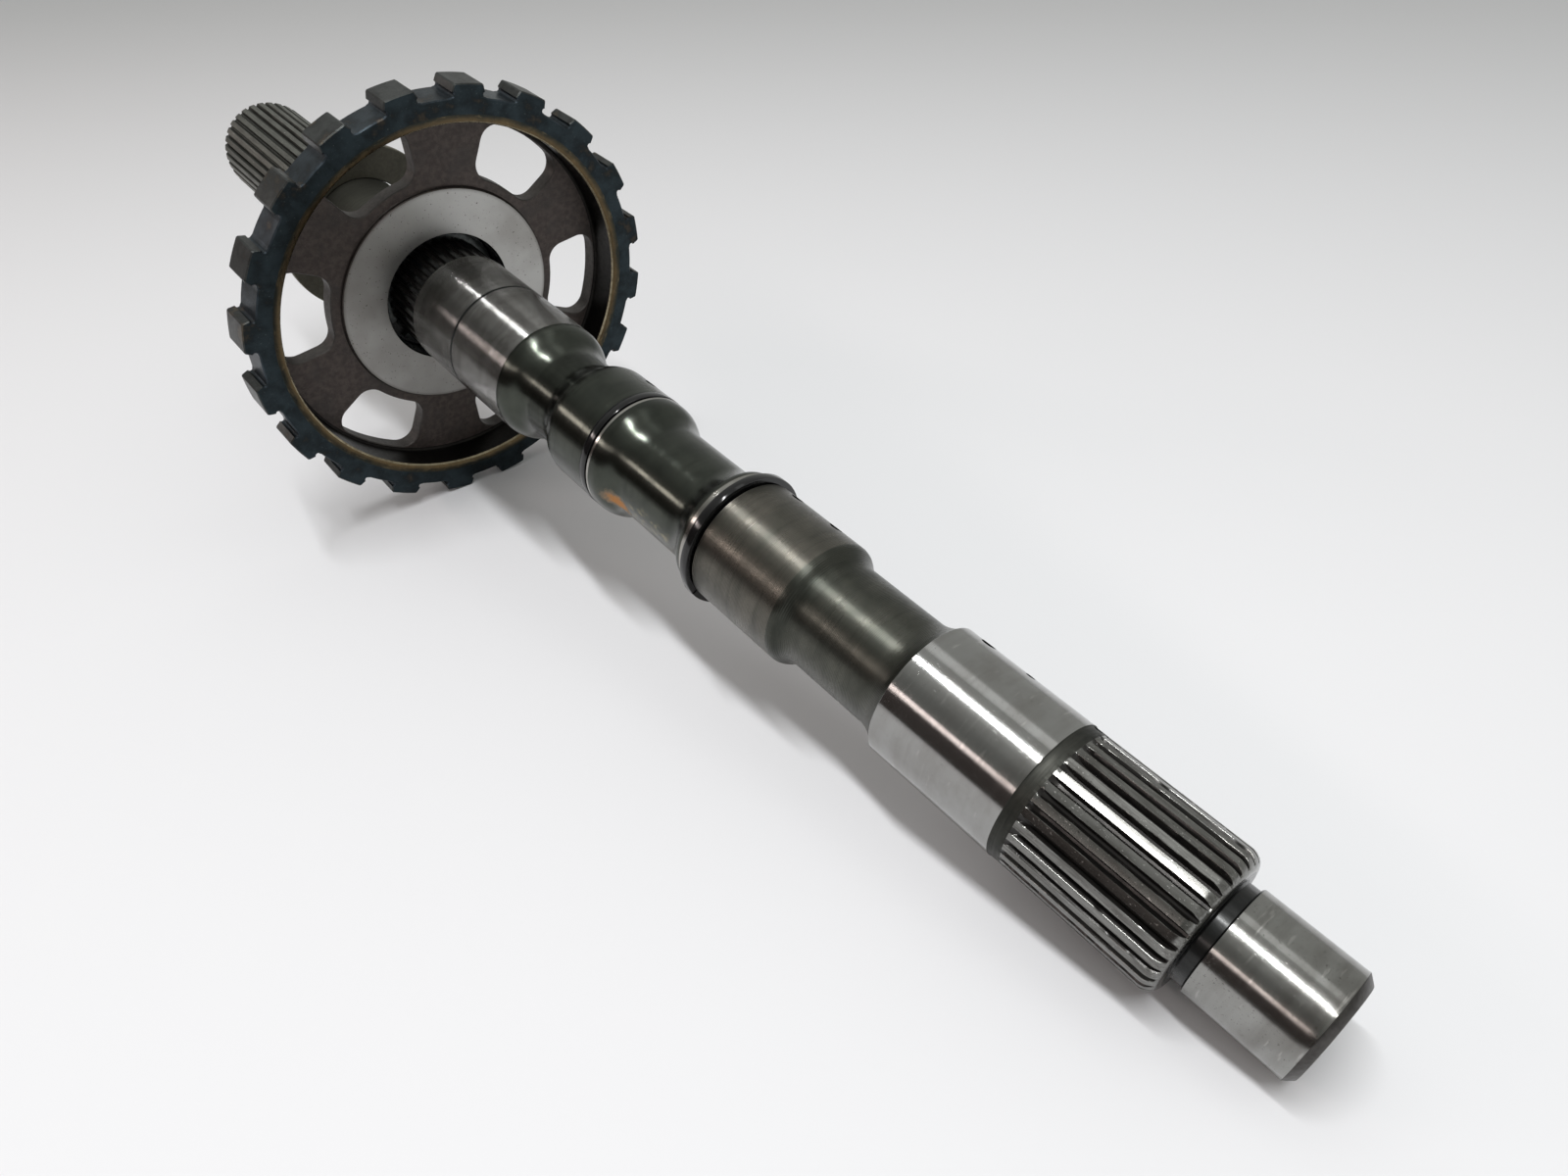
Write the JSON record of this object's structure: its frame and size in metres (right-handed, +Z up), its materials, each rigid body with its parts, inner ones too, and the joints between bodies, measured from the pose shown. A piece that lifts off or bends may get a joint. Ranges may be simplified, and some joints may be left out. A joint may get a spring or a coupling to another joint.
{
  "type": "gearbox output shaft",
  "caption": "Long splined gearbox output shaft with ground journals, oil collars, seal rings and a toothed windowed wheel.",
  "frame": {"origin": "on the floor, under the middle of the part's box; the shaft's axis is in the XZ plane", "axes": "+X along the shaft towards the pilot end, which lies lower, +Z up"},
  "size_m": [0.457, 0.1374, 0.137],
  "materials": {
    "shaft_steel": "ground journals and dark turned necks",
    "wheel_steel": "forged web, heat-tinted teeth, faced hub",
    "seal_ring": "black, oily",
    "spring_steel": "dark, oily",
    "washer_steel": "dull, brown film"
  },
  "bodies": {
    "root": {"output_shaft": "shaft_steel", "ring_gear_flange": "wheel_steel", "seal_ring_front": "seal_ring", "seal_ring_rear": "seal_ring", "hub_ring_front": "spring_steel", "hub_ring_rear": "spring_steel", "thrust_washer": "washer_steel"}
  },
  "joints": []
}
